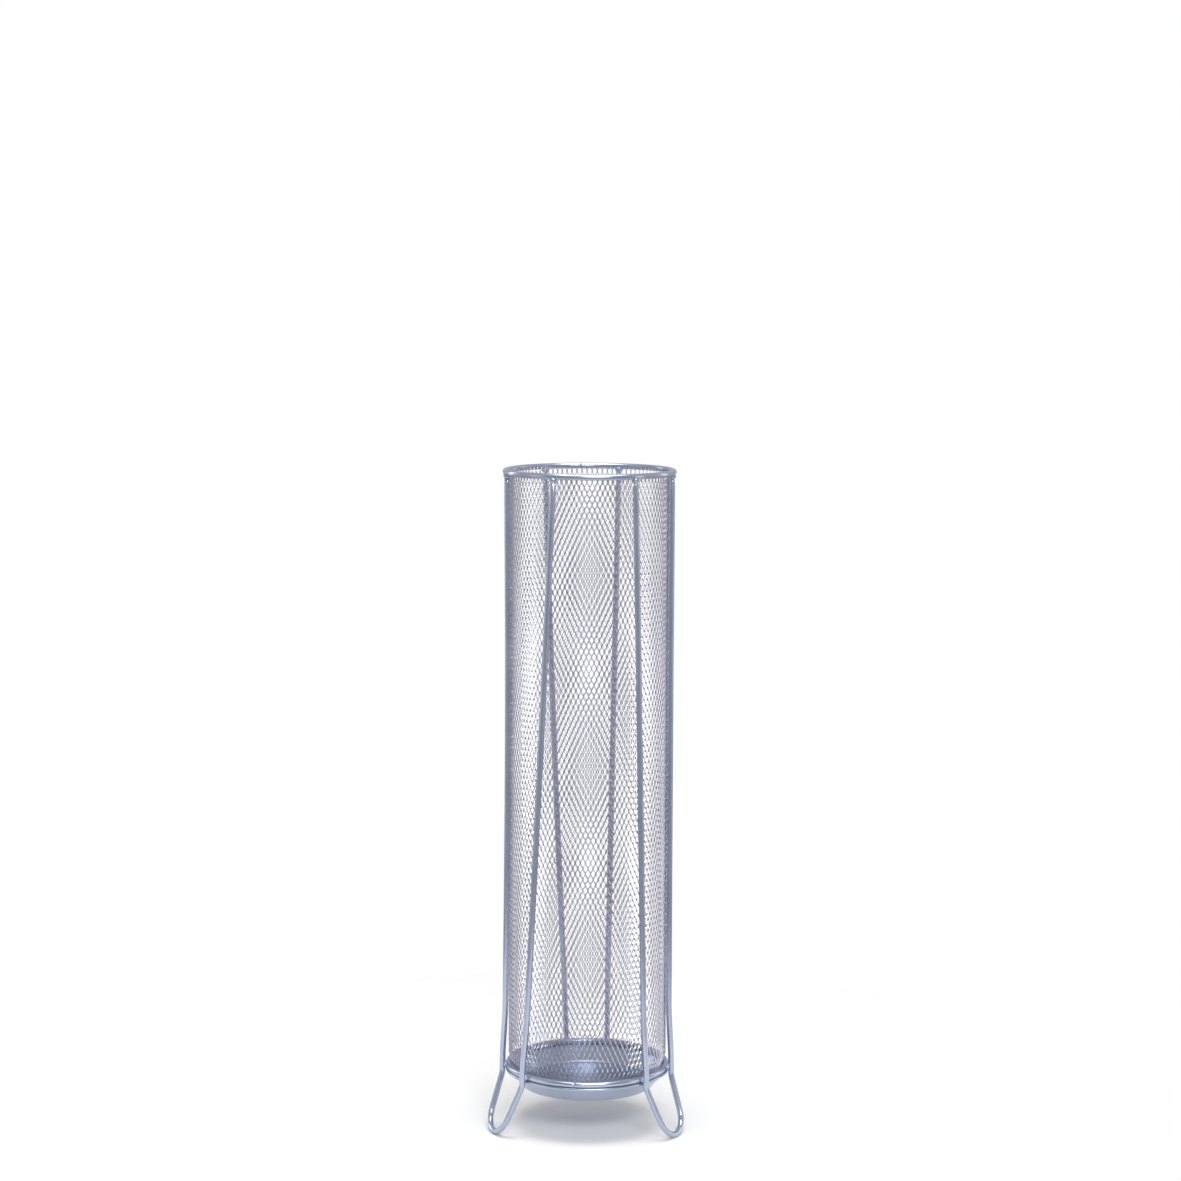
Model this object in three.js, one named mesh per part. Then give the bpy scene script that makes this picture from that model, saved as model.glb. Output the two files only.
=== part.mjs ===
// Umbrella stand: a tall sleeve of raised expanded metal between two rings of round wire, carried by three
// hairpin legs whose bends splay out as feet, with a pressed drip pan welded under the base ring.
//
// Millimetres, +Z up. The pieces are drawn about the sleeve's own axis with heights measured from the floor,
// and the whole stand is then moved so that the middle of its footprint is the origin. An azimuth is an
// angle about the sleeve's axis, in degrees: 0 is the front (-Y), and it grows towards +X.
import * as THREE from 'three';

// Rings of round wire. A ring's radius is measured to the middle of its wire.
const ringWire = 5;
const topRingRadius = 70;
const baseRingRadius = 67;
const baseRingHeight = 52;
const ringSpacing = 505;

// Mesh sleeve, which stands inside both rings.
const sleeveWall = 1.3;
const sleeveRim = 1;
const sleeveDrawIn = 8;
const sleeveGap = 0.5;

// Hairpin legs. Each wire runs down the outside of the sleeve, steps out over the base ring and becomes one
// side of the foot, a loop that leans outwards by footFlare degrees.
const legWire = 5;
const legStepOut = 60;
const footDrop = 7;
const footFlare = 21.4;
const footKneeRadius = 15;
const footHalfWidth = 16;
const footBendRadius = 18.5;

// The azimuths of a leg's two wires: [at the top ring, half way down, at the base ring].
const legs = [
  { name: 'left_leg', wires: [[-78, -74.6, -86], [-25, -35.4, -48.6]] },
  { name: 'right_leg', wires: [[32.3, 37.8, 43], [78, 77.5, 80.5]] },
  { name: 'rear_leg', wires: [[159.2, 162.8, 166.1], [213, 204.6, 194.7]] },
];

// Drip pan, pressed from sheet, with a rolled rim that follows the outside of the base ring.
const panSheet = 1;
const panRoll = 2.4;
const panRimWidth = 3;
const panWallInset = 9.8;
const panDepth = 14.5;
const panCornerRadius = 3;

// Pieces that are welded to each other are drawn this far apart.
const weldGap = 0.3;

// How finely curves are divided.
const ringSteps = 72;
const wireSides = 12;
const runSteps = 12;
const stepOutSteps = 6;
const kneeSteps = 3;
const footBendSteps = 7;
const sleeveFootSteps = 3;
const panCornerSteps = 3;
const panRollSteps = 7;

const silverPaint = { color: '#b4b8c0', roughness: 0.38, metalness: 0.7 };
const silverPaintInMesh = { color: '#aeb2ba', roughness: 0.42, metalness: 0.65 };
const silverPaintOnPan = { color: '#a9afbb', roughness: 0.34, metalness: 0.7 };

const topRingHeight = baseRingHeight + ringSpacing;
const sleeveRadius = topRingRadius - ringWire / 2 - sleeveGap;
const sleeveFootRadius = baseRingRadius - ringWire / 2 - weldGap;
const legRunRadius = sleeveRadius + sleeveGap + legWire / 2;
const legCrossingRadius = baseRingRadius + ringWire / 2 + weldGap + legWire / 2;

// The point at an azimuth, a radius and a height.
function around(azimuth, radius, height) {
  const angle = THREE.MathUtils.degToRad(azimuth);
  return new THREE.Vector3(radius * Math.sin(angle), -radius * Math.cos(angle), height);
}

// Points along the arc that rounds the corner between two straight runs. The arc takes up no more of either
// run than maxSetback.
function roundCorner(before, corner, after, radius, maxSetback, steps) {
  const toBefore = before.clone().sub(corner).normalize();
  const toAfter = after.clone().sub(corner).normalize();
  const halfAngle = toBefore.angleTo(toAfter) / 2;
  const setback = Math.min(radius / Math.tan(halfAngle), maxSetback);
  const start = corner.clone().addScaledVector(toBefore, setback);
  const end = corner.clone().addScaledVector(toAfter, setback);
  const bisector = toBefore.clone().add(toAfter).normalize();
  const centre = corner.clone().addScaledVector(bisector, setback / Math.cos(halfAngle));
  const sweep = Math.PI - 2 * halfAngle;
  const points = [];
  for (let i = 0; i <= steps; i += 1) {
    const angle = (sweep * i) / steps;
    const point = centre.clone();
    point.addScaledVector(start.clone().sub(centre), Math.sin(sweep - angle) / Math.sin(sweep));
    point.addScaledVector(end.clone().sub(centre), Math.sin(angle) / Math.sin(sweep));
    points.push(point);
  }
  return points;
}

// A curve through stations that are near each other in bends and far apart on straight runs. Its parameter
// counts stations, so that an extrusion with one step per station puts a cross-section on each of them.
class StationCurve extends THREE.Curve {
  constructor(stations) {
    super();
    this.stations = stations;
    this.spans = stations.length - 1;
  }

  getPoint(t, target = new THREE.Vector3()) {
    const place = t * this.spans;
    const span = Math.min(Math.floor(place), this.spans - 1);
    return target.lerpVectors(this.stations[span], this.stations[span + 1], place - span);
  }

  getTangent(t, target = new THREE.Vector3()) {
    const station = Math.round(t * this.spans);
    const before = this.stations[Math.max(station - 1, 0)];
    const here = this.stations[station];
    const after = this.stations[Math.min(station + 1, this.spans)];
    const arriving = here.clone().sub(before).normalize();
    const leaving = after.clone().sub(here).normalize();
    return target.addVectors(arriving, leaving).normalize();
  }

  getPointAt(u, target) {
    return this.getPoint(u, target);
  }

  getTangentAt(u, target) {
    return this.getTangent(u, target);
  }

  getSpacedPoints(divisions) {
    return this.getPoints(divisions);
  }
}

function piece(name, geometry, finish) {
  const mesh = new THREE.Mesh(geometry, new THREE.MeshStandardMaterial(finish));
  mesh.name = name;
  return mesh;
}

// A solid of revolution about the Z axis, from its outline in the plane of radius (x) and height (y). The
// outline runs with the material on its left.
function turned(outline) {
  const points = outline.map((point) => new THREE.Vector2(point.x, point.y));
  return new THREE.LatheGeometry(points, ringSteps).rotateX(Math.PI / 2);
}

function ring(name, radius, height) {
  const geometry = new THREE.TorusGeometry(radius, ringWire / 2, wireSides, ringSteps);
  geometry.translate(0, 0, height);
  return piece(name, geometry, silverPaint);
}

// The radius of a leg wire's middle at a height above the base ring: along the sleeve first, then out over
// the base ring in a smooth step.
function legRadius(heightAboveBase) {
  const rise = THREE.MathUtils.smoothstep(heightAboveBase, 0, legStepOut);
  return THREE.MathUtils.lerp(legCrossingRadius, legRunRadius, rise);
}

// The sleeve's outer radius at a height above the base ring. It never reaches the leg wires.
function sleeveOuterRadius(heightAboveBase) {
  return Math.min(sleeveRadius, legRadius(heightAboveBase) - legWire / 2 - sleeveGap);
}

function meshSleeve() {
  const foot = baseRingHeight - ringWire / 2;
  const drawnIn = baseRingHeight + ringWire / 2;
  const top = topRingHeight + sleeveRim;
  const outside = [new THREE.Vector2(sleeveFootRadius, foot), new THREE.Vector2(sleeveFootRadius, drawnIn)];
  for (let i = 0; i <= sleeveFootSteps; i += 1) {
    const height = THREE.MathUtils.lerp(ringWire / 2 + sleeveDrawIn, legStepOut, i / sleeveFootSteps);
    outside.push(new THREE.Vector2(sleeveOuterRadius(height), baseRingHeight + height));
  }
  outside.push(new THREE.Vector2(sleeveRadius, top));
  const inside = outside.map((point) => new THREE.Vector2(point.x - sleeveWall, point.y)).reverse();
  const outline = [...outside, ...inside, outside[0]];
  return piece('mesh_sleeve', turned(outline), silverPaintInMesh);
}

// One wire of a leg, from its weld under the top ring to where it crosses the base ring. Its azimuth is the
// parabola through the three given ones.
function wireRun([atTop, halfWay, atBase]) {
  const weldHeight = topRingHeight - ringWire / 2 - weldGap;
  const points = [];
  const place = (share) => {
    const height = THREE.MathUtils.lerp(weldHeight, baseRingHeight, share);
    const azimuth =
      atTop * (1 - share) * (1 - 2 * share) + halfWay * 4 * share * (1 - share) + atBase * share * (2 * share - 1);
    points.push(around(azimuth, legRadius(height - baseRingHeight), height));
  };
  const stepShare = 1 - legStepOut / (weldHeight - baseRingHeight);
  for (let i = 0; i < runSteps; i += 1) {
    place((stepShare * i) / runSteps);
  }
  for (let i = 0; i <= stepOutSteps; i += 1) {
    place(THREE.MathUtils.lerp(stepShare, 1, i / stepOutSteps));
  }
  return points;
}

function hairpinLeg({ name, wires }) {
  const down = wireRun(wires[0]);
  const up = wireRun(wires[1]).reverse();
  const lastDown = down[down.length - 1];
  const firstUp = up[0];
  const kneeDown = lastDown.clone().add(new THREE.Vector3(0, 0, -footDrop));
  const kneeUp = firstUp.clone().add(new THREE.Vector3(0, 0, -footDrop));

  const across = kneeUp.clone().sub(kneeDown).normalize();
  const middle = kneeDown.clone().add(kneeUp).multiplyScalar(0.5);
  const outwards = new THREE.Vector3(middle.x, middle.y, 0).normalize();
  const flare = THREE.MathUtils.degToRad(footFlare);
  const reach = (middle.z - legWire / 2) * Math.tan(flare);
  const sole = new THREE.Vector3(middle.x, middle.y, legWire / 2).addScaledVector(outwards, reach);
  const cornerDown = sole.clone().addScaledVector(across, -footHalfWidth);
  const cornerUp = sole.clone().addScaledVector(across, footHalfWidth);

  const knee = (before, corner, after) =>
    roundCorner(before, corner, after, footKneeRadius, footDrop / 2, kneeSteps);
  const bend = (before, corner, after) =>
    roundCorner(before, corner, after, footBendRadius, footHalfWidth * 0.99, footBendSteps);
  const stations = [
    ...down,
    ...knee(lastDown, kneeDown, cornerDown),
    ...bend(kneeDown, cornerDown, cornerUp),
    ...bend(cornerDown, cornerUp, kneeUp),
    ...knee(cornerUp, kneeUp, firstUp),
    ...up,
  ];
  // A full circle is divided into twice as many sides as curveSegments says.
  const section = new THREE.Shape().absarc(0, 0, legWire / 2, 0, 2 * Math.PI);
  const geometry = new THREE.ExtrudeGeometry(section, {
    extrudePath: new StationCurve(stations),
    steps: stations.length - 1,
    curveSegments: wireSides / 2,
  });
  return piece(name, geometry, silverPaint);
}

// The pan's outline goes out along its underside, up the outside of its wall, round the rolled rim, and back
// down the inside to the middle of its floor.
function dripPan() {
  const rimTop = baseRingHeight - ringWire / 2 - weldGap;
  const rimRadius = baseRingRadius + ringWire / 2;
  const underside = rimTop - panDepth;
  const floor = underside + panSheet;
  const flangeUnder = rimTop - panSheet;
  const wallTop = rimRadius - panRimWidth;
  const wallFoot = wallTop - panWallInset;
  const lean = Math.atan2(panWallInset, flangeUnder - underside);
  const wallThickness = panSheet / Math.cos(lean);
  const innerShift = wallThickness - panSheet * Math.tan(lean);
  const at = (radius, height) => new THREE.Vector3(radius, height, 0);
  const corner = (before, middle, after, radius) =>
    roundCorner(before, middle, after, radius, panWallInset / 2, panCornerSteps);

  const axisUnder = at(0, underside);
  const axisFloor = at(0, floor);
  const outerFoot = at(wallFoot, underside);
  const outerTop = at(wallTop, flangeUnder);
  const innerTop = at(wallTop - innerShift, rimTop);
  const innerFoot = at(wallFoot - innerShift, floor);

  const rollRadius = panRoll / 2;
  const rollCentre = at(rimRadius - rollRadius, rimTop - rollRadius);
  const rollStart = Math.PI + Math.asin((panRoll / 2 - panSheet) / rollRadius);
  const rolled = [];
  for (let i = 0; i <= panRollSteps; i += 1) {
    const angle = THREE.MathUtils.lerp(rollStart, 2.5 * Math.PI, i / panRollSteps);
    rolled.push(at(rollCentre.x + rollRadius * Math.cos(angle), rollCentre.y + rollRadius * Math.sin(angle)));
  }
  const outline = [
    axisUnder,
    ...corner(axisUnder, outerFoot, outerTop, panCornerRadius + panSheet),
    outerTop,
    ...rolled,
    innerTop,
    ...corner(innerTop, innerFoot, axisFloor, panCornerRadius),
    axisFloor,
  ];
  return piece('drip_pan', turned(outline), silverPaintOnPan);
}

const assembly = new THREE.Group();
assembly.add(ring('top_ring', topRingRadius, topRingHeight));
assembly.add(ring('base_ring', baseRingRadius, baseRingHeight));
assembly.add(meshSleeve());
assembly.add(...legs.map(hairpinLeg));
assembly.add(dripPan());

// The origin is the middle of the footprint, on the floor.
const extent = new THREE.Box3().setFromObject(assembly, true);
const middle = extent.getCenter(new THREE.Vector3());
assembly.position.set(-middle.x, -middle.y, -extent.min.z);

const umbrellaStand = new THREE.Group();
umbrellaStand.add(assembly);

export default umbrellaStand;
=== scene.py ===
import math

import bpy
from mathutils import Matrix, Vector


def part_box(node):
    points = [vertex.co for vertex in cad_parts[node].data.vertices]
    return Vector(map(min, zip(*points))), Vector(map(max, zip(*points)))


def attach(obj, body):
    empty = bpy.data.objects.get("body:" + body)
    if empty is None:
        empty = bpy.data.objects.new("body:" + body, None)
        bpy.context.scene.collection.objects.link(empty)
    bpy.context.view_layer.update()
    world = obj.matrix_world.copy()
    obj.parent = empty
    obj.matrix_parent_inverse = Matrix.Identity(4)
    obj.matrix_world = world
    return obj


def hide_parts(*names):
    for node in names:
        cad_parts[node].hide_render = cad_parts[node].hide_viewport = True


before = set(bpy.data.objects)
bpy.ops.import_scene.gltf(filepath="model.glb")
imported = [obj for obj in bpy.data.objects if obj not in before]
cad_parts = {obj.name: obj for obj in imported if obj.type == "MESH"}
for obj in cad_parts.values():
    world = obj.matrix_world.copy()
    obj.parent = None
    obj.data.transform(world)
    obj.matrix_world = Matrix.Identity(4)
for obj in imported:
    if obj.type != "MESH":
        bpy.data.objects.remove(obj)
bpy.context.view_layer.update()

MM = 0.001

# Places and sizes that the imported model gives.
top_ring_low, top_ring_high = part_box("top_ring")
base_ring_low, base_ring_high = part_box("base_ring")
sleeve_low, sleeve_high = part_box("mesh_sleeve")
pan_low, pan_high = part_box("drip_pan")

ring_wire = top_ring_high.z - top_ring_low.z
top_ring_centre = (top_ring_low + top_ring_high) / 2
base_ring_centre = (base_ring_low + base_ring_high) / 2
top_ring_radius = (top_ring_high.x - top_ring_low.x - ring_wire) / 2
base_ring_radius = (base_ring_high.x - base_ring_low.x - ring_wire) / 2
sleeve_radius = (sleeve_high.x - sleeve_low.x) / 2
pan_radius = (pan_high.x - pan_low.x) / 2
axis = Vector((top_ring_centre.x, top_ring_centre.y, 0))

# Expanded metal, as cut and stretched: a strand is a narrow ribbon of the sheet, and two strands run side
# by side in each bond. The long way of the diamonds stands upright. A strand's knee lies at a share of its
# rise and of its way sideways, and the sleeve narrows over a short height above the base ring.
DIAMONDS_AROUND = 96
PANELS = 6
ROW_PITCH = 9.5 * MM
STRAND_WIDTH = 0.6 * MM
SHEET = 0.36 * MM
BOND_HEIGHT = 1.7 * MM
RIBBON_TILT = math.radians(36)
KNEE_RISE = 0.3
KNEE_SHIFT = 0.2
TOP_STUB = 0.3 * MM
SLEEVE_FOOT_RADIUS = 64.2 * MM
DRAWN_IN_HEIGHT = 8 * MM

# Drip pan.
PAN_SHEET = 1 * MM
PAN_ROLL = 2.4 * MM
PAN_RIM_WIDTH = 3 * MM
PAN_WALL_INSET = 9.8 * MM
PAN_CORNER_RADIUS = 3.5 * MM
PAN_SHOULDER_RADIUS = 1.6 * MM
PAN_FLAT_SETBACK = 1.5 * MM
PAN_CORNER_STEPS = 10
PAN_SHOULDER_STEPS = 7
PAN_ROLL_STEPS = 14
PAN_SPIN_STEPS = 144

# Legs: the azimuths of the six wires at the top ring, and where they cross the base ring.
LEGS = ("left_leg", "right_leg", "rear_leg")
LEG_CROSSING_RADIUS = 72.3 * MM
WIRES_AT_TOP = (-78, -25, 32.3, 78, 159.2, 213)
WIRES_AT_BASE = (-86, -48.6, 43, 80.5, 166.1, 194.7)

# Rings, and the welds that hold them and the legs.
BASE_RING_JOINT = -9
TOP_RING_JOINT = 186
RING_GAP_DEGREES = 0.35
RING_SIDES = 24
RING_STEPS = 160
RING_END_BEVEL = 0.35 * MM
SEAM_WIDTH = 1.7 * MM
SEAM_HEIGHT = 1 * MM
COLLAR_DROP = 0.3 * MM

# Vertices nearer than this are one, and edges sharper than these stay sharp.
MERGE_DISTANCE = 0.01 * MM
MESH_MERGE_DISTANCE = 0.05 * MM
CREASE_ANGLE = math.radians(50)
MESH_CREASE_ANGLE = math.radians(38)

# Paint: the size of its slow drifts in tone.
TONE_DRIFT_SIZE = 35 * MM

# Lamps: name, place, width, height, power in watts.
LAMPS = (
    ("softbox_above", (0.0, -0.2, 1.9), 1.3, 0.9, 20),
    ("softbox_front", (0.35, -2.1, 1.55), 1.3, 0.6, 25),
    ("strip_left", (-1.8, -0.55, 0.5), 0.8, 1.4, 2),
    ("strip_right", (1.8, -0.7, 0.5), 0.3, 1.4, 2),
    ("strip_back_left", (-1.5, 1.1, 0.7), 0.3, 1.3, 3.5),
    ("strip_back_right", (1.6, 0.8, 0.7), 0.3, 1.3, 2),
)
LAMPS_AIM = (0, 0, 0.3)
FLOOR_RADIUS = 0.5


# ---------------------------------------------------------------- camera, light and floor

def add_camera():
    """A short telephoto view from the front, a little above the rim, with a slight roll."""
    distance = 2293.1 * MM
    height_above_base_ring = 667.2 * MM
    sideways = 1.1 * MM
    pitch = math.radians(6.519)
    roll = math.radians(0.25)
    place = base_ring_centre + Vector((sideways, -distance, height_above_base_ring))
    turn = Matrix.Rotation(math.pi / 2 - pitch, 4, "X") @ Matrix.Rotation(roll, 4, "Z")
    bpy.ops.object.camera_add(location=place, rotation=turn.to_euler())
    camera = bpy.context.object
    camera.data.lens = 84.1
    camera.data.sensor_width = 36
    camera.data.clip_start = 0.05
    bpy.context.scene.camera = camera


def add_softbox(name, place, aim, width, height, power):
    """A rectangular diffused lamp at a place, turned to face a point."""
    facing = (Vector(aim) - Vector(place)).to_track_quat("-Z", "Y")
    bpy.ops.object.light_add(type="AREA", location=place, rotation=facing.to_euler())
    lamp = bpy.context.object
    lamp.name = name
    lamp.data.shape = "RECTANGLE"
    lamp.data.size = width
    lamp.data.size_y = height
    lamp.data.energy = power


def add_studio():
    """Wide soft lamps above and in front, and upright ones at the sides that light the edges of the wires.

    The left one is wide and weak: a brighter one shines back off the end of the top ring, seen from the
    side, until that is as white as the backdrop and the ring looks broken. The room is a little dimmer in
    front than behind, and shows white where it is seen directly.
    """
    for name, place, width, height, power in LAMPS:
        add_softbox(name, place, LAMPS_AIM, width, height, power)

    world = bpy.data.worlds.new("studio_room")
    bpy.context.scene.world = world
    world.use_nodes = True
    tree = world.node_tree
    tree.nodes.clear()
    direction = add_node(tree, "ShaderNodeTexCoord")
    parts = add_node(tree, "ShaderNodeSeparateXYZ", {}, {0: direction.outputs["Generated"]})
    backdrop = add_node(
        tree, "ShaderNodeMapRange", {"From Min": -0.6, "From Max": 0.3, "interpolation_type": "SMOOTHSTEP"},
        {"Value": parts.outputs["Y"]},
    )
    walls = add_node(
        tree, "ShaderNodeMix",
        {"data_type": "RGBA", 6: paint_colour("#a7a6a5"), 7: paint_colour("#bdbdbd")},
        {0: backdrop.outputs["Result"]},
    )
    ray = add_node(tree, "ShaderNodeLightPath")
    colour = add_node(
        tree, "ShaderNodeMix", {"data_type": "RGBA", 7: paint_colour("#ffffff")},
        {0: ray.outputs["Is Camera Ray"], 6: walls.outputs[2]},
    )
    light = add_node(tree, "ShaderNodeBackground", {"Strength": 1.0}, {"Color": colour.outputs[2]})
    add_node(tree, "ShaderNodeOutputWorld", {}, {"Surface": light.outputs["Background"]})


def add_floor():
    """A round pale floor."""
    deselect()
    bpy.ops.mesh.primitive_circle_add(vertices=128, radius=FLOOR_RADIUS, fill_type="NGON", location=(0, 0, 0))
    floor = bpy.context.object
    floor.name = "floor"
    floor.data.materials.append(pale_floor())


# ---------------------------------------------------------------- helpers for modelling

def deselect():
    """Leaves nothing selected, in object mode."""
    if bpy.context.object and bpy.context.object.mode != "OBJECT":
        bpy.ops.object.mode_set(mode="OBJECT")
    bpy.ops.object.select_all(action="DESELECT")


def take_up(piece):
    """Makes a piece the only one selected, in object mode."""
    deselect()
    piece.select_set(True)
    bpy.context.view_layer.objects.active = piece


def edit(piece):
    """Opens a piece for editing, with all of it selected."""
    take_up(piece)
    bpy.ops.object.mode_set(mode="EDIT")
    bpy.ops.mesh.select_all(action="SELECT")


def select_vertices(piece, wanted):
    """Selects the vertices whose place passes the test, and leaves the piece open for editing."""
    edit(piece)
    bpy.ops.mesh.select_mode(type="VERT")
    bpy.ops.mesh.select_all(action="DESELECT")
    bpy.ops.object.mode_set(mode="OBJECT")
    piece.data.vertices.foreach_set("select", [wanted(v.co) for v in piece.data.vertices])
    bpy.ops.object.mode_set(mode="EDIT")


def select_faces(piece, wanted):
    """Selects the faces that pass the test, and leaves the piece open for editing."""
    edit(piece)
    bpy.ops.mesh.select_mode(type="FACE")
    bpy.ops.mesh.select_all(action="DESELECT")
    bpy.ops.object.mode_set(mode="OBJECT")
    piece.data.polygons.foreach_set("select", [wanted(f) for f in piece.data.polygons])
    bpy.ops.object.mode_set(mode="EDIT")


def apply_modifier(piece, kind, **settings):
    """Adds a modifier to a piece and applies it."""
    take_up(piece)
    modifier = piece.modifiers.new(kind.lower(), kind)
    for name, value in settings.items():
        setattr(modifier, name, value)
    bpy.ops.object.modifier_apply(modifier=modifier.name)


def settle(piece):
    """Applies a piece's place, so that its object sits at the origin, unturned and unscaled."""
    take_up(piece)
    bpy.ops.object.transform_apply(location=True, rotation=True, scale=True)


def copy_of(piece, name):
    """A second piece with its own mesh."""
    twin = piece.copy()
    twin.data = piece.data.copy()
    twin.name = name
    bpy.context.scene.collection.objects.link(twin)
    return twin


def join_into(piece, others):
    """Makes one piece of several."""
    take_up(piece)
    for other in others:
        other.select_set(True)
    bpy.ops.object.join()


def around(azimuth, radius, height):
    """The point at an azimuth in degrees, a radius from the sleeve's axis, and a height."""
    angle = math.radians(azimuth)
    return Vector((axis.x + radius * math.sin(angle), axis.y - radius * math.cos(angle), height))


def finish_piece(piece, name, material, slot, *nodes):
    """Names, paints and declares a finished piece."""
    piece.name = name
    piece.data.name = name
    piece.data.materials.clear()
    piece.data.materials.append(material)
    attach(piece, "root")
    if nodes:
        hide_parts(*nodes)


# ---------------------------------------------------------------- materials

def paint_colour(code):
    """An sRGB hex colour as linear RGBA."""
    channels = [int(code[i:i + 2], 16) / 255 for i in (1, 3, 5)]
    linear = [c / 12.92 if c <= 0.04045 else ((c + 0.055) / 1.055) ** 2.4 for c in channels]
    return (*linear, 1)


def add_node(tree, kind, settings=None, links=None):
    """Adds a node. A setting is one of its inputs or properties, and a link feeds one of its inputs."""
    made = tree.nodes.new(kind)
    for name, value in (settings or {}).items():
        if isinstance(name, str) and hasattr(made, name):
            setattr(made, name, value)
        else:
            made.inputs[name].default_value = value
    for name, source in (links or {}).items():
        tree.links.new(source, made.inputs[name])
    return made


def new_material(name):
    """A material with an empty node tree."""
    material = bpy.data.materials.new(name)
    material.use_nodes = True
    material.node_tree.nodes.clear()
    return material


def silver_paint(name, light, dark, flake_size, peel_size, peel_depth, roughness):
    """Stoved enamel with aluminium flake on steel: a cool silver grey that glitters very finely, is clear
    and mirror-like enough for soft highlights, and has the faint orange peel of a sprayed coat.

    Real flake is 0.03 to 0.05 mm across, too fine to show, so flake_size draws it about ten times as coarse.
    """
    material = new_material(name)
    tree = material.node_tree
    place = add_node(tree, "ShaderNodeTexCoord")
    flakes = add_node(
        tree, "ShaderNodeTexVoronoi", {"Scale": 1 / flake_size}, {"Vector": place.outputs["Object"]},
    )
    flake = add_node(tree, "ShaderNodeSeparateColor", {}, {"Color": flakes.outputs["Color"]})
    drift = add_node(
        tree, "ShaderNodeTexNoise", {"Scale": 1 / TONE_DRIFT_SIZE, "Detail": 3.0},
        {"Vector": place.outputs["Object"]},
    )
    tone = add_node(
        tree, "ShaderNodeMath", {"operation": "MULTIPLY_ADD", 1: 0.3},
        {0: flake.outputs["Red"], 2: drift.outputs["Fac"]},
    )
    shade = add_node(
        tree, "ShaderNodeMapRange", {"From Min": 0.35, "From Max": 0.95}, {"Value": tone.outputs["Value"]},
    )
    colour = add_node(
        tree, "ShaderNodeMix", {"data_type": "RGBA", 6: paint_colour(dark), 7: paint_colour(light)},
        {0: shade.outputs["Result"]},
    )
    dullness = add_node(
        tree, "ShaderNodeMapRange", {"To Min": roughness - 0.05, "To Max": roughness + 0.07},
        {"Value": flake.outputs["Green"]},
    )
    peel = add_node(
        tree, "ShaderNodeTexNoise", {"Scale": 1 / peel_size, "Detail": 2.0},
        {"Vector": place.outputs["Object"]},
    )
    relief = add_node(
        tree, "ShaderNodeBump", {"Strength": 1.0, "Distance": peel_depth}, {"Height": peel.outputs["Fac"]},
    )
    surface = add_node(
        tree, "ShaderNodeBsdfPrincipled",
        {"Metallic": 0.82, "Coat Weight": 0.25, "Coat Roughness": 0.18, "Coat IOR": 1.5},
        {
            "Base Color": colour.outputs[2],
            "Roughness": dullness.outputs["Result"],
            "Normal": relief.outputs["Normal"],
        },
    )
    add_node(tree, "ShaderNodeOutputMaterial", {}, {"Surface": surface.outputs["BSDF"]})
    return material


def pale_floor():
    """Matt white studio board, with a faint unevenness of tone."""
    material = new_material("matt_white_board")
    tree = material.node_tree
    place = add_node(tree, "ShaderNodeTexCoord")
    cloud = add_node(tree, "ShaderNodeTexNoise", {"Scale": 3.0}, {"Vector": place.outputs["Object"]})
    colour = add_node(
        tree, "ShaderNodeMix", {"data_type": "RGBA", 6: paint_colour("#f9f9f9"), 7: paint_colour("#fdfdfd")},
        {0: cloud.outputs["Fac"]},
    )
    surface = add_node(
        tree, "ShaderNodeBsdfPrincipled", {"Roughness": 0.9, "Specular IOR Level": 0.1},
        {"Base Color": colour.outputs[2]},
    )
    add_node(tree, "ShaderNodeOutputMaterial", {}, {"Surface": surface.outputs["BSDF"]})
    return material


# ---------------------------------------------------------------- sleeve

def sleeve_bond():
    """One bond of the expanded metal with half of each of its four strands, in the middle of the front.

    The bond is a short upright bar, two strands wide, turned so that its right edge stands outwards. Its
    right half runs on into the two strands on its right, and its left half into those on its left.
    """
    column_pitch = 2 * math.pi * sleeve_radius / DIAMONDS_AROUND
    envelope = STRAND_WIDTH * math.sin(RIBBON_TILT) + SHEET / 2 * math.cos(RIBBON_TILT)
    middle = around(0, sleeve_radius - envelope, 0)
    half_bond = BOND_HEIGHT / 2

    deselect()
    bpy.ops.mesh.primitive_plane_add(size=1, location=(0, 0, 0))
    bond = bpy.context.object
    edit(bond)
    bpy.ops.transform.resize(value=(2 * STRAND_WIDTH, SHEET, 1))
    bpy.ops.mesh.bisect(plane_co=(0, 0, 0), plane_no=(1, 0, 0))
    bpy.ops.mesh.select_all(action="SELECT")
    bpy.ops.transform.translate(value=(0, 0, -half_bond))
    bpy.ops.mesh.extrude_region_move(TRANSFORM_OT_translate={"value": (0, 0, BOND_HEIGHT)})

    # A strand's middle goes from the middle of its half of the bond to the point halfway to the next bond.
    rise = ROW_PITCH / 4 - half_bond
    for side in (-1, 1):
        start = Vector((side * STRAND_WIDTH / 2, 0, 0))
        turned_start = Matrix.Rotation(-RIBBON_TILT, 3, "Z") @ start
        whole_shift = Vector((side * column_pitch / 4, 0, 0)) - turned_start
        shift = Matrix.Rotation(RIBBON_TILT, 3, "Z") @ whole_shift
        for way in (-1, 1):
            end = way * half_bond
            select_faces(bond, lambda f: f.center.x * side > 0 and abs(f.center.z - end) < SHEET / 10)
            for share_up, share_out in ((KNEE_RISE, KNEE_SHIFT), (1 - KNEE_RISE, 1 - KNEE_SHIFT)):
                step = Vector((shift.x * share_out, shift.y * share_out, way * rise * share_up))
                bpy.ops.mesh.extrude_region_move(TRANSFORM_OT_translate={"value": step})
            bpy.ops.mesh.delete(type="ONLY_FACE")
    edit(bond)
    bpy.ops.mesh.normals_make_consistent(inside=False)
    take_up(bond)
    bond.rotation_euler = (0, 0, -RIBBON_TILT)
    bond.location = middle
    settle(bond)
    return bond


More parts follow.
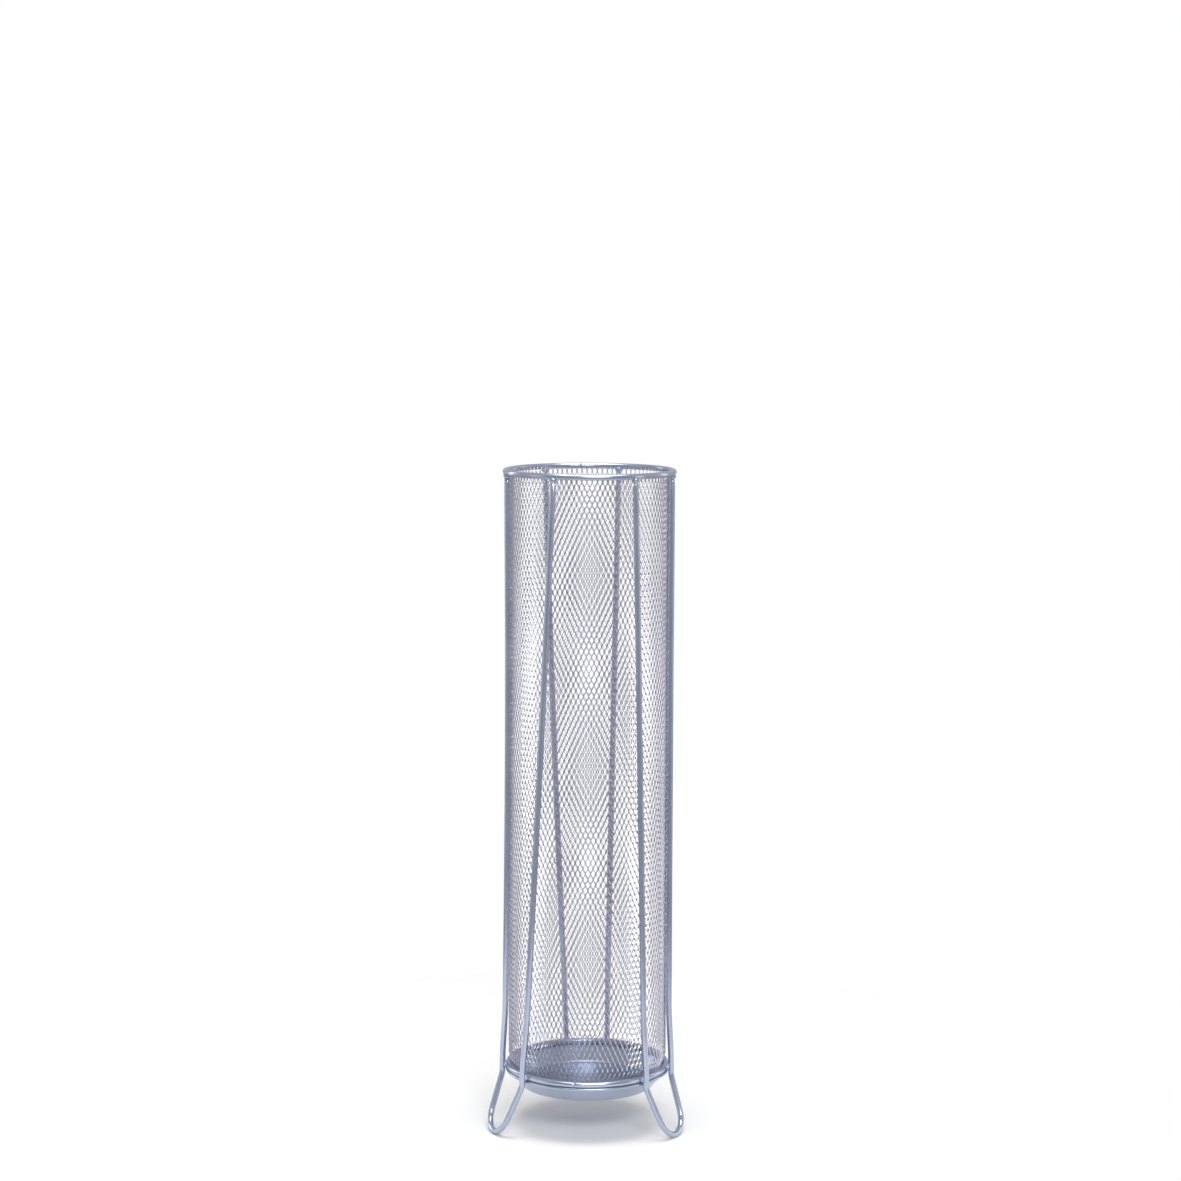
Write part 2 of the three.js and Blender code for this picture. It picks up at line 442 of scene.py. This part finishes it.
def turn_matrix(degrees):
    """A turn about the sleeve's axis."""
    turn = Matrix.Rotation(math.radians(degrees), 4, "Z")
    return Matrix.Translation(axis) @ turn @ Matrix.Translation(-axis)


def turn_about_axis(piece, degrees):
    """Turns a settled piece about the sleeve's axis."""
    piece.matrix_world = turn_matrix(degrees)
    settle(piece)


def array_around(piece, step_degrees, count):
    """Repeats a settled piece about the sleeve's axis, and merges each copy with the next."""
    turn = turn_matrix(step_degrees)
    deselect()
    bpy.ops.object.empty_add(location=turn.to_translation(), rotation=turn.to_euler())
    pointer = bpy.context.object
    bpy.context.view_layer.update()
    apply_modifier(
        piece, "ARRAY", count=count, use_relative_offset=False, use_object_offset=True,
        offset_object=pointer, use_merge_vertices=True, merge_threshold=MESH_MERGE_DISTANCE,
    )
    bpy.data.objects.remove(pointer)


def build_sleeve(paint):
    """The sleeve, from one bond: a column of them, a panel of columns, and six equal panels."""
    pitch_degrees = 360 / DIAMONDS_AROUND
    top_bond = sleeve_high.z - BOND_HEIGHT / 2 + TOP_STUB
    rows = math.ceil((sleeve_high.z - sleeve_low.z) / ROW_PITCH)

    column = sleeve_bond()
    neighbour = copy_of(column, "neighbour")
    turn_about_axis(neighbour, pitch_degrees / 2)
    neighbour.location.z = -ROW_PITCH / 2
    settle(neighbour)
    join_into(column, [neighbour])
    column.location.z = top_bond - (rows - 1) * ROW_PITCH
    settle(column)
    apply_modifier(
        column, "ARRAY", count=rows, use_relative_offset=False, use_constant_offset=True,
        constant_offset_displace=(0, 0, ROW_PITCH), use_merge_vertices=True,
        merge_threshold=MESH_MERGE_DISTANCE,
    )
    for height, outwards in ((sleeve_high.z, 1), (sleeve_low.z, -1)):
        edit(column)
        bpy.ops.mesh.bisect(
            plane_co=(0, 0, height), plane_no=(0, 0, outwards), clear_outer=True, use_fill=False,
        )

    # The lowest rows are drawn in to pass inside the base ring.
    drawn_in = base_ring_high.z
    levels = sorted({round(v.co.z, 5) for v in column.data.vertices if v.co.z < drawn_in + DRAWN_IN_HEIGHT})
    for level in levels:
        share = min(max((level - drawn_in) / DRAWN_IN_HEIGHT, 0), 1)
        radius = SLEEVE_FOOT_RADIUS + (sleeve_radius - SLEEVE_FOOT_RADIUS) * share
        select_vertices(column, lambda co: round(co.z, 5) == level)
        scale = radius / sleeve_radius
        bpy.ops.transform.resize(value=(scale, scale, 1), center_override=axis)

    # The strands' cut ends are closed.
    array_around(column, pitch_degrees, DIAMONDS_AROUND // PANELS)
    edit(column)
    bpy.ops.mesh.remove_doubles(threshold=MESH_MERGE_DISTANCE)
    bpy.ops.mesh.select_all(action="SELECT")
    bpy.ops.mesh.fill_holes(sides=6)
    bpy.ops.mesh.select_all(action="SELECT")
    bpy.ops.mesh.normals_make_consistent(inside=False)
    take_up(column)
    bpy.ops.object.shade_smooth_by_angle(angle=MESH_CREASE_ANGLE)

    panels = [column] + [copy_of(column, f"panel_{i}") for i in range(1, PANELS)]
    for number, panel in enumerate(panels):
        turn_about_axis(panel, number * 360 / PANELS)
        finish_piece(panel, f"sleeve_panel_{number + 1}", paint, "painted_mesh", "mesh_sleeve")


# ---------------------------------------------------------------- rings, legs and welds

def build_ring(name, node, centre, radius, joint_azimuth, paint):
    """A ring bent from round wire, whose two ends meet in a butt joint."""
    deselect()
    bpy.ops.mesh.primitive_circle_add(
        vertices=RING_SIDES, radius=ring_wire / 2, fill_type="NOTHING",
        location=around(0, radius, centre.z), rotation=(math.pi / 2, 0, math.pi / 2),
    )
    wire = bpy.context.object
    settle(wire)
    edit(wire)
    bpy.ops.mesh.spin(
        steps=RING_STEPS, angle=math.radians(360 - RING_GAP_DEGREES),
        center=(axis.x, axis.y, centre.z), axis=(0, 0, 1),
    )
    bpy.ops.mesh.select_all(action="SELECT")
    bpy.ops.mesh.fill_holes(sides=0)
    bpy.ops.mesh.select_all(action="SELECT")
    bpy.ops.mesh.normals_make_consistent(inside=False)
    select_faces(wire, lambda f: len(f.vertices) > 4)
    bpy.ops.mesh.bevel(offset=RING_END_BEVEL, segments=2, affect="EDGES")
    take_up(wire)
    bpy.ops.object.shade_smooth_by_angle(angle=CREASE_ANGLE)
    turn_about_axis(wire, joint_azimuth)
    finish_piece(wire, name, paint, "painted_wire", node)


def build_leg(node, paint):
    """A leg's own shape, merged into one skin and divided finer, so that its wire is round to the eye.

    Dividing it draws its skin in, so it is swollen a little first.
    """
    swell = 0.11 * MM
    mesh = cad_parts[node].data.copy()
    leg = bpy.data.objects.new(node + "_wire", mesh)
    bpy.context.scene.collection.objects.link(leg)
    edit(leg)
    bpy.ops.mesh.remove_doubles(threshold=MERGE_DISTANCE)
    bpy.ops.mesh.tris_convert_to_quads(face_threshold=math.radians(50), shape_threshold=math.radians(120))
    bpy.ops.mesh.select_all(action="SELECT")
    bpy.ops.transform.shrink_fatten(value=swell)
    apply_modifier(leg, "SUBSURF", levels=1, render_levels=1)
    take_up(leg)
    bpy.ops.object.shade_smooth()
    finish_piece(leg, node + "_wire", paint, "painted_wire", node)


def weld_bead(name, size, squeeze, seed):
    """A small frozen puddle of weld: a rounded blob, narrower below, with an uneven skin.

    It is shaped as a ball one across, and then given its size in metres.
    """
    narrow_below = -0.2
    unevenness = 0.02
    deselect()
    bpy.ops.mesh.primitive_uv_sphere_add(segments=16, ring_count=10, radius=0.5, location=(0, 0, 0))
    bead = bpy.context.object
    bead.name = name
    select_vertices(bead, lambda co: co.z < narrow_below)
    bpy.ops.transform.resize(value=(squeeze, squeeze, 1), center_override=(0, 0, 0))
    bpy.ops.mesh.select_all(action="SELECT")
    bpy.ops.transform.vertex_random(offset=unevenness, seed=seed)
    bpy.ops.mesh.vertices_smooth(factor=0.5, repeat=1)
    take_up(bead)
    bead.scale = size
    settle(bead)
    apply_modifier(bead, "SUBSURF", levels=1, render_levels=1)
    take_up(bead)
    bpy.ops.object.shade_smooth()
    return bead


def build_welds(paint):
    """The beads of weld: a collar under the top ring at each leg wire, a saddle where each wire passes the
    base ring, and a narrow seam round each ring's own wire, where its two ends meet."""
    crossing = (base_ring_radius + LEG_CROSSING_RADIUS) / 2
    collar = (7.2 * MM, 6.8 * MM, 6.0 * MM)
    saddle = (7.2 * MM, 5.0 * MM, 6.0 * MM)
    seam = (SEAM_WIDTH, ring_wire + SEAM_HEIGHT, ring_wire + SEAM_HEIGHT)
    rows = (
        ("top_ring_welds", WIRES_AT_TOP, top_ring_radius, top_ring_low.z - COLLAR_DROP, collar, 0.86),
        ("base_ring_welds", WIRES_AT_BASE, crossing, base_ring_centre.z, saddle, 0.95),
        ("top_ring_seam", (TOP_RING_JOINT,), top_ring_radius, top_ring_centre.z, seam, 1),
        ("base_ring_seam", (BASE_RING_JOINT,), base_ring_radius, base_ring_centre.z, seam, 1),
    )
    for name, azimuths, radius, height, size, squeeze in rows:
        beads = []
        for number, azimuth in enumerate(azimuths):
            bead = weld_bead(f"{name}_{number}", size, squeeze, number)
            bead.rotation_euler = (0, 0, math.radians(azimuth))
            bead.location = around(azimuth, radius, height)
            settle(bead)
            beads.append(bead)
        if len(beads) > 1:
            join_into(beads[0], beads[1:])
        finish_piece(beads[0], name, paint, "painted_wire")


# ---------------------------------------------------------------- drip pan

def arc(centre, radius, start, end, steps):
    """Points on an arc in the plane of radius and height, between two angles in degrees."""
    points = []
    for i in range(steps + 1):
        angle = math.radians(start + (end - start) * i / steps)
        points.append(Vector((centre[0] + radius * math.cos(angle), 0, centre[1] + radius * math.sin(angle))))
    return points


def pan_outline():
    """The middle of the pan's sheet, from the middle of its floor to the end of its rolled rim.

    The pan is lifted until it touches the base ring that it is welded to.
    """
    half = PAN_SHEET / 2
    lift = base_ring_low.z - pan_high.z
    floor = pan_low.z + lift + half
    flange = pan_high.z + lift - half
    lean = math.atan2(PAN_WALL_INSET, pan_high.z - PAN_SHEET - pan_low.z)
    lean_degrees = math.degrees(lean)
    wall_top = pan_radius - PAN_RIM_WIDTH - half / math.cos(lean) + half * math.tan(lean)
    wall_foot = wall_top - (flange - floor) * math.tan(lean)
    set_in = math.tan((math.pi / 2 - lean) / 2)
    foot_centre = (wall_foot - PAN_CORNER_RADIUS * set_in, floor + PAN_CORNER_RADIUS)
    shoulder_centre = (wall_top + PAN_SHOULDER_RADIUS * set_in, flange - PAN_SHOULDER_RADIUS)
    roll_radius = PAN_ROLL / 2 - half
    roll_centre = (pan_radius - PAN_ROLL / 2, flange - roll_radius)
    flat_radius = foot_centre[0] - PAN_FLAT_SETBACK
    return [
        Vector((0, 0, floor)),
        Vector((flat_radius / 2, 0, floor)),
        Vector((flat_radius, 0, floor)),
        *arc(foot_centre, PAN_CORNER_RADIUS, -90, -lean_degrees, PAN_CORNER_STEPS),
        *arc(shoulder_centre, PAN_SHOULDER_RADIUS, 180 - lean_degrees, 90, PAN_SHOULDER_STEPS),
        *arc(roll_centre, roll_radius, 90, -170, PAN_ROLL_STEPS),
    ]


def build_pan(paint):
    """The drip pan: one line drawn through the middle of the sheet, spun round and given its thickness."""
    points = pan_outline()
    deselect()
    bpy.ops.mesh.primitive_plane_add(size=MM, location=(0, 0, 0))
    pan = bpy.context.object
    edit(pan)
    bpy.ops.mesh.merge(type="CENTER")
    bpy.ops.transform.translate(value=axis + points[0])
    for before, after in zip(points, points[1:]):
        bpy.ops.mesh.extrude_vertices_move(TRANSFORM_OT_translate={"value": after - before})
    bpy.ops.mesh.select_all(action="SELECT")
    bpy.ops.mesh.spin(steps=PAN_SPIN_STEPS, angle=2 * math.pi, center=axis, axis=(0, 0, 1))
    bpy.ops.mesh.select_all(action="SELECT")
    bpy.ops.mesh.remove_doubles(threshold=MERGE_DISTANCE)
    bpy.ops.mesh.select_all(action="SELECT")
    bpy.ops.mesh.normals_make_consistent(inside=False)
    apply_modifier(pan, "SOLIDIFY", thickness=PAN_SHEET, offset=0, use_even_offset=True)
    take_up(pan)
    bpy.ops.object.shade_smooth_by_angle(angle=CREASE_ANGLE)
    finish_piece(pan, "pressed_drip_pan", paint, "painted_pan", "drip_pan")


# ---------------------------------------------------------------- the stand

bpy.context.scene.view_settings.view_transform = "Standard"
add_camera()
add_studio()
add_floor()

# Each paint: its light and dark tones, then the size of its flakes, the size and depth of its orange peel,
# and its roughness.
wire_paint = silver_paint("silver_paint_on_wire", "#b6bfd3", "#a1abc1", 0.35 * MM, 1.6 * MM, 0.006 * MM, 0.2)
# The mesh has the same silver paint as the wire, but its tones are set lighter: painted light, standing in
# for the light that its thin strands catch and throw back.
mesh_paint_with_painted_light = silver_paint("silver_paint_and_painted_light_on_mesh", "#cecddb", "#b7b7c8", 0.3 * MM, 0.9 * MM, 0.01 * MM, 0.2)
pan_paint = silver_paint("silver_paint_on_pan", "#b3bed1", "#a1abbf", 0.35 * MM, 2.2 * MM, 0.01 * MM, 0.2)

build_sleeve(mesh_paint_with_painted_light)
build_ring("top_ring_wire", "top_ring", top_ring_centre, top_ring_radius, TOP_RING_JOINT, wire_paint)
build_ring("base_ring_wire", "base_ring", base_ring_centre, base_ring_radius, BASE_RING_JOINT, wire_paint)
for leg_node in LEGS:
    build_leg(leg_node, wire_paint)
build_welds(wire_paint)
build_pan(pan_paint)
